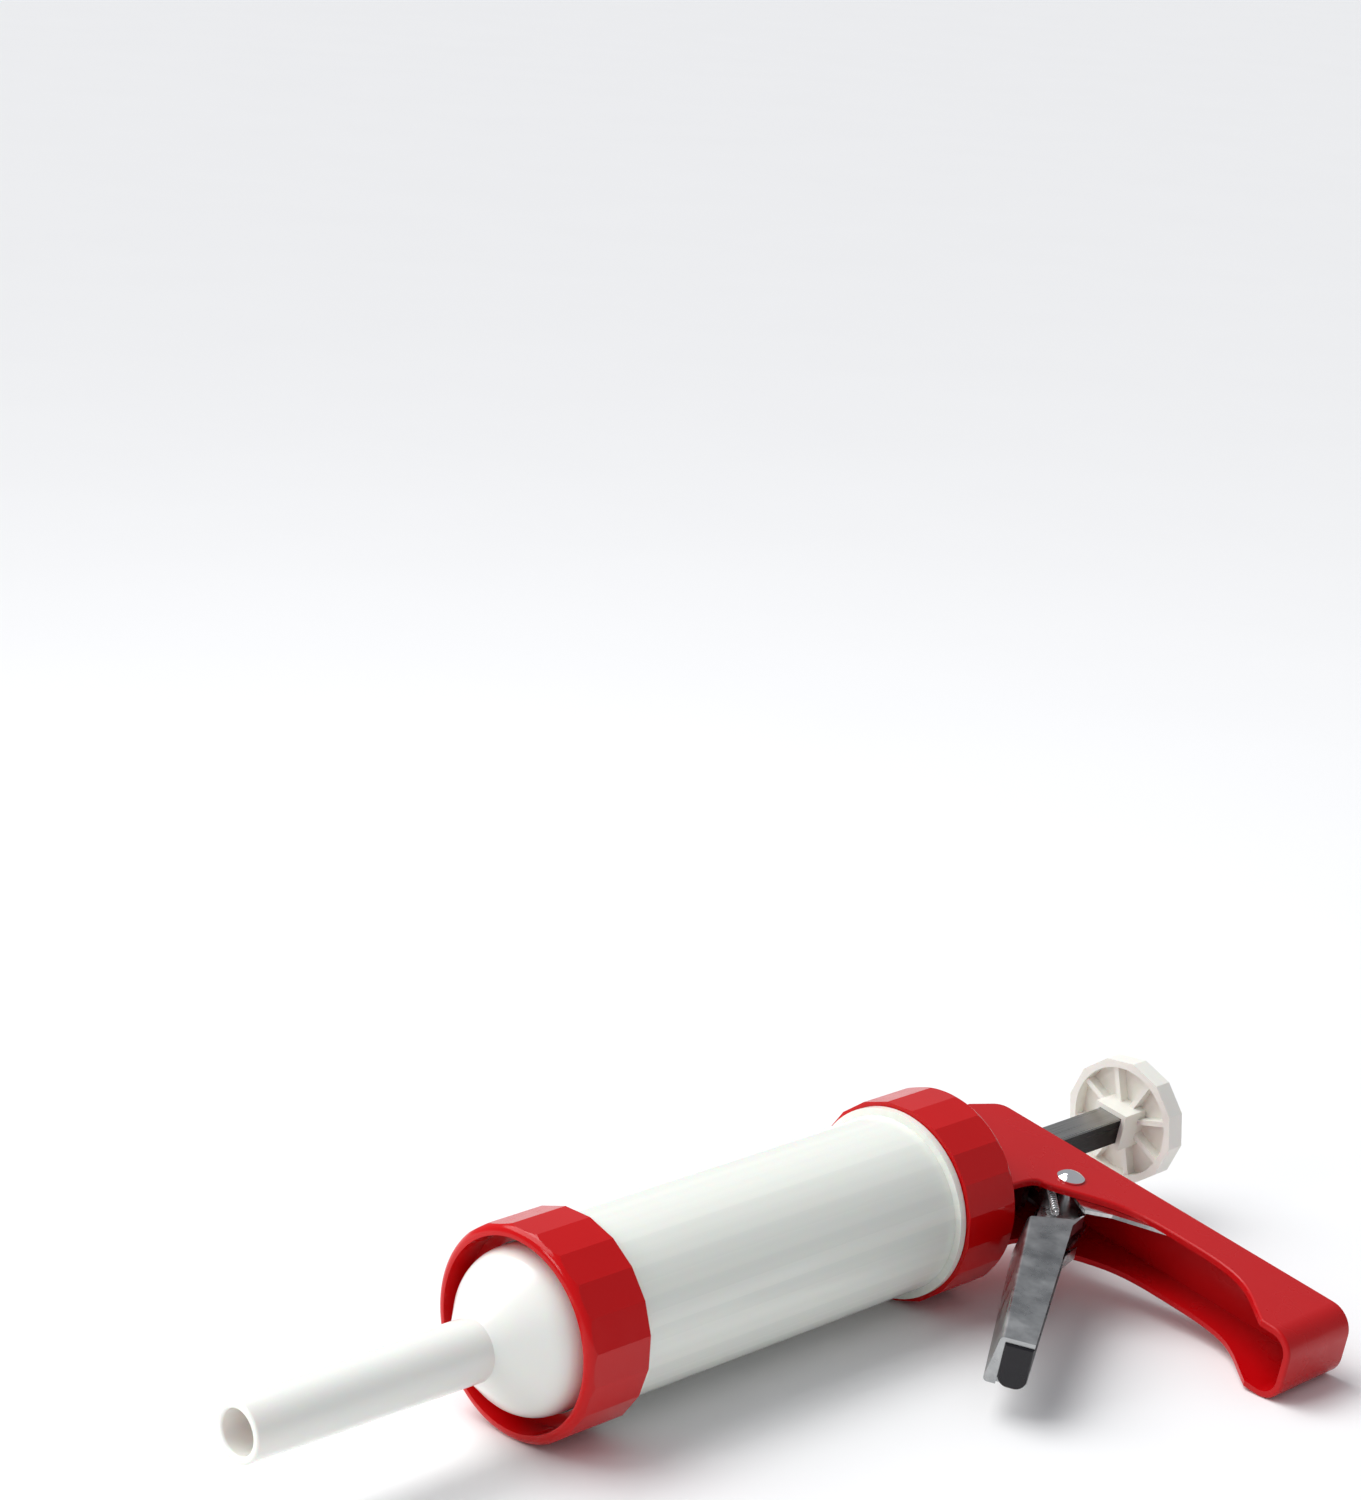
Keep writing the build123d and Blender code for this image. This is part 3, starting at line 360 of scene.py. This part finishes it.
def spring(name, start, end, radius, wire, turns, hooked):
    """A coil of round wire from start to end. Its ends run in to the middle if hooked."""
    along = (end - start).normalized()
    across = along.orthogonal().normalized()
    other = along.cross(across)
    length = (end - start).length
    count = int(turns * STEPS_PER_TURN)
    route = []
    outwards = []
    for step in range(count + 1):
        turn = math.tau * step / STEPS_PER_TURN
        from_end = min(step, count - step) / STEPS_PER_TURN
        closing = min(1.0, from_end / END_TURNS)
        reach = radius * (HOOK_REACH + (1 - HOOK_REACH) * closing) if hooked else radius
        outward = across * math.cos(turn) + other * math.sin(turn)
        route.append(start + along * (length * step / count) + outward * reach)
        outwards.append(outward)
    built = bmesh.new()
    rings = []
    for index, (point, outward) in enumerate(zip(route, outwards)):
        ahead = (route[min(index + 1, count)] - route[max(index - 1, 0)]).normalized()
        normal = ahead.cross(outward).normalized()
        flat = normal.cross(ahead)
        ring = []
        for side in range(WIRE_SIDES):
            turn = math.tau * side / WIRE_SIDES
            spoke = flat * math.cos(turn) + normal * math.sin(turn)
            ring.append(built.verts.new(point + spoke * (wire / 2)))
        rings.append(ring)
    for first, second in zip(rings, rings[1:]):
        for side in range(WIRE_SIDES):
            following = (side + 1) % WIRE_SIDES
            built.faces.new((first[side], first[following], second[following], second[side]))
    built.faces.new(reversed(rings[0]))
    built.faces.new(rings[-1])
    bmesh.ops.recalc_face_normals(built, faces=built.faces)
    for face in built.faces:
        face.smooth = True
    mesh = bpy.data.meshes.new(name)
    built.to_mesh(mesh)
    built.free()
    mesh.materials.append(SPRING_STEEL)
    piece = bpy.data.objects.new(name, mesh)
    bpy.context.scene.collection.objects.link(piece)
    return piece


HOOK_FROM_PIVOT = (-14.6, -7.5, 6.7)      # on the trigger's shoulder
ANCHOR_FROM_PIVOT = (6.0, 14.0, 6.7)      # on the handle
RETURN_RADIUS = 1.15
RETURN_WIRE = 0.6
RETURN_TURNS = 20
DRIVE_RADIUS = 7.9
DRIVE_WIRE = 1.2
DRIVE_TURNS = 6
HOOK_REACH = 0.12                         # of the coil's radius, where a hooked end runs in


def from_pivot(x, y, z):
    """A point in millimetres from the trigger's pivot, along the gun's own directions."""
    return pivot + gun.to_3x3() @ (Vector((x, y, z)) * MM)


def add_springs():
    hook = from_pivot(*HOOK_FROM_PIVOT)
    anchor = from_pivot(*ANCHOR_FROM_PIVOT)
    pull = spring(
        "trigger_return_spring", anchor, hook, RETURN_RADIUS * MM, RETURN_WIRE * MM, RETURN_TURNS, True
    )
    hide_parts("trigger_spring")
    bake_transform(pull)

    low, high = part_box("drive_spring")
    guide_back = low.x + DRIVE_WIRE / 2 * MM
    dog_front = high.x - DRIVE_WIRE / 2 * MM
    seat = Vector((guide_back, axis_point.y, axis_point.z))
    dog_face = Vector((dog_front, axis_point.y, axis_point.z))
    push = spring("drive_coil_spring", seat, dog_face, DRIVE_RADIUS * MM, DRIVE_WIRE * MM, DRIVE_TURNS, False)
    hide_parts("drive_spring")
    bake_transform(push)


add_springs()


# ---------------------------------------------------------------- studio
def softbox(name, spot, aim, width, height, power):
    light = bpy.data.lights.new(name, "AREA")
    light.shape = "RECTANGLE"
    light.size = width
    light.size_y = height
    light.energy = power
    lamp = bpy.data.objects.new(name, light)
    lamp.location = spot
    lamp.rotation_mode = "QUATERNION"
    lamp.rotation_quaternion = (Vector(aim) - Vector(spot)).to_track_quat("-Z", "Y")
    bpy.context.scene.collection.objects.link(lamp)


def soft_sun(name, direction, strength, spread):
    light = bpy.data.lights.new(name, "SUN")
    light.energy = strength
    light.angle = math.radians(spread)
    lamp = bpy.data.objects.new(name, light)
    lamp.rotation_mode = "QUATERNION"
    lamp.rotation_quaternion = (-Vector(direction)).to_track_quat("-Z", "Y")
    bpy.context.scene.collection.objects.link(lamp)


def add_studio():
    world = bpy.data.worlds.new("studio")
    bpy.context.scene.world = world
    world.use_nodes = True
    world.node_tree.nodes["Background"].inputs["Color"].default_value = (0.93, 0.95, 1.0, 1)
    world.node_tree.nodes["Background"].inputs["Strength"].default_value = 0.42
    soft_sun("sky_light", (-0.3, 0.5, 0.8), 2.3, 55)
    softbox("left_window", (-0.95, 0.25, 0.55), (-0.05, 0.05, 0.03), 0.30, 0.30, 1.6)
    softbox("overhead", (0.1, 0.55, 0.95), (0.1, 0, 0), 0.8, 0.35, 2.2)


FLOOR_REACH = 60.0


def add_floor():
    mesh = bpy.data.meshes.new("floor")
    built = bmesh.new()
    signs = ((-1, -1), (1, -1), (1, 1), (-1, 1))
    corners = [built.verts.new((x * FLOOR_REACH, y * FLOOR_REACH, 0)) for x, y in signs]
    built.faces.new(corners)
    built.to_mesh(mesh)
    built.free()
    floor = bpy.data.objects.new("floor", mesh)
    bpy.context.scene.collection.objects.link(floor)
    finish = Finish("floor_pale", roughness=0.55, specular_ior_level=0.2)
    finish.vary(base_color=finish.mix(finish.noise(6.0), (0.92, 0.92, 0.92, 1), (0.90, 0.90, 0.90, 1)))
    mesh.materials.append(finish.material)


CAMERA_LENS = 95.94
CAMERA_FROM_AXIS = Vector((-665.1, -682.6, 437.7)) * MM
CAMERA_HEADING = math.radians(-46.47)
CAMERA_DIP = math.radians(15.36)
CAMERA_ROLL = math.radians(3.81)


def add_camera():
    data = bpy.data.cameras.new("camera")
    data.lens = CAMERA_LENS
    data.sensor_fit = "HORIZONTAL"
    camera = bpy.data.objects.new("camera", data)
    bpy.context.scene.collection.objects.link(camera)
    camera.location = axis_point + CAMERA_FROM_AXIS
    towards = Vector((
        -math.sin(CAMERA_HEADING) * math.cos(CAMERA_DIP),
        math.cos(CAMERA_HEADING) * math.cos(CAMERA_DIP),
        -math.sin(CAMERA_DIP),
    ))
    camera.rotation_mode = "QUATERNION"
    level = towards.to_track_quat("-Z", "Y")
    camera.rotation_quaternion = Matrix.Rotation(-CAMERA_ROLL, 3, towards).to_quaternion() @ level
    bpy.context.scene.camera = camera


add_camera()
add_studio()
add_floor()
bpy.context.scene.view_settings.view_transform = "Standard"
